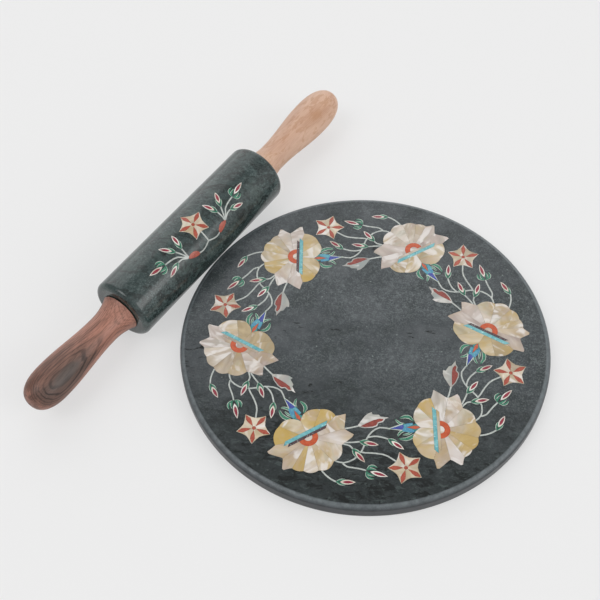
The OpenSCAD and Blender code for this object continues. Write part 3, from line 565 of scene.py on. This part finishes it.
dress(turned_metal("ground_steel", "#b9bcbf", 0.25, 0.4 * MM), "axle_rod")
dress(turned_metal("turned_brass", "#c9a24a", 0.3, 0.6 * MM),
      "near_washer", "far_washer", "near_insert", "far_insert")
# moulded nylon takes the stones' finish in two close whites, with a duller skin
dress(speckled("moulded_nylon", "#e2e0da", "#ece9e3", 4 * MM, "#f4f2ee", 0.3, 1 * MM,
               roughness=0.45), "near_bush", "far_bush")


# The handles: turned rosewood, sanded and oiled, each fixed to the rod by the insert inside it.
# The near one is red brown with dark grain and a knot on its bulb, and the far one is paler
# sapwood.
pin_joint = [joint for joint in frame["joints"] if joint["name"] == "barrel_spin"][0]
pin_middle = Vector(pin_joint["pos_m"])
pin_axis = Vector(pin_joint["axis"]).normalized()
pin_turn = math.atan2(pin_axis.y, pin_axis.x)
NECK_TO = 112 * MM                           # from the pin's middle
BULB_FROM = 148 * MM
TONE_SIZE = 7 * MM
CLOUDING_SIZE = 4.2 * MM
RING_SPACING = 1.15 * MM
RING_WANDER = 3.2 * MM                       # how far a growth ring strays from its circle
WANDER_SIZE = 10 * MM
FIBRE_SIZE = 0.6 * MM                        # coarser than real pores, which wouldn't show
PORE_DEPTH = 0.2 * MM
KNOT_FROM, KNOT_BY = 1.5, 0.9                # times the knot's size, from its middle
HALO_FROM, HALO_BY = 4.0, 1.4
HALO_SHARE = 0.75                            # of the knot's own share of its colour
KNOT_UNEVEN = 0.45                           # of its size


def rosewood(name, pale, mid, dark, lines, shade, pith, knot, knot_size, knot_colour, knot_share):
    """Turned and oiled wood: for the eye a satin sheen over growth rings, dark fibres and a knot.
    Lines is how strong the grain is, shade how much darker the bulb is than the neck, and pith
    where the tree's middle lies, seen from the handle's axis."""
    made, tree, shader = finish_of(name, roughness=0.46, ior=1.5)
    place = add(tree, "ShaderNodeTexCoord").outputs["Object"]
    place = add(tree, "ShaderNodeVectorMath", {0: place, 1: pin_middle},
                operation="SUBTRACT").outputs[0]
    along = add(tree, "ShaderNodeVectorRotate", {
        "Vector": place, "Axis": (0, 0, 1), "Angle": -pin_turn},
        rotation_type="AXIS_ANGLE").outputs[0]

    # slow tones; a small number on X draws a pattern out along the grain
    slow = add(tree, "ShaderNodeVectorMath", {0: along, 1: (0.15, 1, 1)},
               operation="MULTIPLY").outputs[0]
    tones = add(tree, "ShaderNodeTexNoise", {
        "Vector": slow, "Scale": 1 / TONE_SIZE, "Detail": 4, "Roughness": 0.6}).outputs[0]
    outward = add(tree, "ShaderNodeSeparateXYZ", {0: along}).outputs["X"]
    outward = add(tree, "ShaderNodeMath", {0: outward}, operation="ABSOLUTE").outputs[0]
    outward = add(tree, "ShaderNodeMapRange", {
        "Value": outward, "From Min": NECK_TO, "From Max": BULB_FROM, "To Min": shade,
        "To Max": -shade}).outputs[0]
    toned = add(tree, "ShaderNodeMath", {0: tones, 1: outward}).outputs[0]
    colour = add(tree, "ShaderNodeValToRGB", {0: toned}, [
        (0.36, mid), (0.60, pale)]).outputs[0]

    # the plainer wood has short darker clouds instead of lines
    clouded = add(tree, "ShaderNodeVectorMath", {0: along, 1: (0.45, 1, 1)},
                  operation="MULTIPLY").outputs[0]
    clouded = add(tree, "ShaderNodeTexNoise", {
        "Vector": clouded, "Scale": 1 / CLOUDING_SIZE, "Detail": 4, "Roughness": 0.65,
        "Distortion": 0.7}).outputs[0]
    clouded = add(tree, "ShaderNodeMapRange", {
        "Value": clouded, "From Min": 0.51, "From Max": 0.59, "To Max": 0.70 * (1 - lines)},
        interpolation_type="SMOOTHSTEP").outputs[0]
    colour = add(tree, "ShaderNodeMix", {
        FACTOR: clouded, FIRST: colour, SECOND: srgb(knot_colour)},
        data_type="RGBA").outputs[MIXED]

    # the knot is three times as long as it is wide, with a halo of its own colour round it
    to_knot = add(tree, "ShaderNodeVectorMath", {0: along, 1: knot},
                  operation="SUBTRACT").outputs[0]
    to_knot = add(tree, "ShaderNodeVectorMath", {0: to_knot, 1: (0.34, 1, 1)},
                  operation="MULTIPLY").outputs[0]
    away = add(tree, "ShaderNodeVectorMath", {0: to_knot}, operation="LENGTH").outputs["Value"]
    uneven = add(tree, "ShaderNodeMath", {0: tones, 1: KNOT_UNEVEN * knot_size},
                 operation="MULTIPLY").outputs[0]
    away = add(tree, "ShaderNodeMath", {0: away, 1: uneven}).outputs[0]
    in_knot = add(tree, "ShaderNodeMapRange", {
        "Value": away, "From Min": knot_size * KNOT_FROM, "From Max": knot_size * KNOT_BY,
        "To Max": knot_share}, interpolation_type="SMOOTHSTEP").outputs[0]
    round_knot = add(tree, "ShaderNodeMapRange", {
        "Value": away, "From Min": knot_size * HALO_FROM, "From Max": knot_size * HALO_BY},
        interpolation_type="SMOOTHSTEP").outputs[0]
    halo = add(tree, "ShaderNodeMath", {0: round_knot, 1: knot_share * HALO_SHARE},
               operation="MULTIPLY").outputs[0]
    colour = add(tree, "ShaderNodeMix", {
        FACTOR: halo, FIRST: colour, SECOND: srgb(knot_colour)}, data_type="RGBA").outputs[MIXED]

    # growth rings round the pith, darkest near the knot and where the wood is dark
    across = add(tree, "ShaderNodeVectorMath", {0: along, 1: pith},
                 operation="SUBTRACT").outputs[0]
    across = add(tree, "ShaderNodeVectorMath", {0: across, 1: (0.03, 1, 1)},
                 operation="MULTIPLY").outputs[0]
    ring = add(tree, "ShaderNodeVectorMath", {0: across}, operation="LENGTH").outputs["Value"]
    wander = add(tree, "ShaderNodeTexNoise", {
        "Vector": slow, "Scale": 1 / WANDER_SIZE, "Detail": 2}).outputs[0]
    wander = add(tree, "ShaderNodeMath", {0: wander, 1: RING_WANDER},
                 operation="MULTIPLY").outputs[0]
    ring = add(tree, "ShaderNodeMath", {0: ring, 1: wander}).outputs[0]
    wave = add(tree, "ShaderNodeMath", {0: ring, 1: 2 * math.pi / RING_SPACING},
               operation="MULTIPLY").outputs[0]
    wave = add(tree, "ShaderNodeMath", {0: wave}, operation="SINE").outputs[0]
    late_wood = add(tree, "ShaderNodeMapRange", {
        "Value": wave, "From Min": 0.1, "From Max": 1.0},
        interpolation_type="SMOOTHSTEP").outputs[0]
    strength = add(tree, "ShaderNodeMapRange", {
        "Value": round_knot, "To Min": 0.45 * lines, "To Max": lines}).outputs[0]
    uneven = add(tree, "ShaderNodeMapRange", {
        "Value": tones, "From Min": 0.62, "From Max": 0.38, "To Min": 0.25}).outputs[0]
    strength = add(tree, "ShaderNodeMath", {0: strength, 1: uneven},
                   operation="MULTIPLY").outputs[0]
    drawn = add(tree, "ShaderNodeMath", {0: late_wood, 1: strength},
                operation="MULTIPLY").outputs[0]
    colour = add(tree, "ShaderNodeMix", {
        FACTOR: drawn, FIRST: colour, SECOND: srgb(dark)}, data_type="RGBA").outputs[MIXED]
    colour = add(tree, "ShaderNodeMix", {
        FACTOR: in_knot, FIRST: colour, SECOND: srgb(knot_colour)},
        data_type="RGBA").outputs[MIXED]

    # dark fibres, which are open pores as well
    fibre_place = add(tree, "ShaderNodeVectorMath", {0: along, 1: (0.06, 1, 1)},
                      operation="MULTIPLY").outputs[0]
    fibres = add(tree, "ShaderNodeTexNoise", {
        "Vector": fibre_place, "Scale": 1 / FIBRE_SIZE, "Detail": 3, "Roughness": 0.6}).outputs[0]
    streak = add(tree, "ShaderNodeMapRange", {
        "Value": fibres, "From Min": 0.48, "From Max": 0.68, "To Max": 0.55 * lines}).outputs[0]
    colour = add(tree, "ShaderNodeMix", {
        FACTOR: streak, FIRST: colour, SECOND: srgb(dark)}, data_type="RGBA").outputs[MIXED]
    tree.links.new(colour, shader.inputs["Base Color"])
    pores = add(tree, "ShaderNodeBump", {
        "Height": fibres, "Strength": 0.2, "Distance": PORE_DEPTH})
    tree.links.new(pores.outputs[0], shader.inputs["Normal"])
    return made


dress(rosewood("turned_dark_rosewood", "#aa7765", "#6e493b", "#2a1b16", lines=1.0, shade=0.10,
               pith=(0, 22 * MM, -22 * MM), knot=(-140.5 * MM, -9.5 * MM, 9.8 * MM),
               knot_size=4.2 * MM, knot_colour="#4f443e", knot_share=0.85), "near_handle")
dress(rosewood("turned_pale_rosewood", "#cfab93", "#c29b84", "#94684f", lines=0.30, shade=0.0,
               pith=(0, -30 * MM, -20 * MM), knot=(144 * MM, -9.3 * MM, 11 * MM),
               knot_size=2.2 * MM, knot_colour="#b0825f", knot_share=0.55), "far_handle")


# The look: colours render as they are written.
bpy.context.scene.view_settings.view_transform = "Standard"
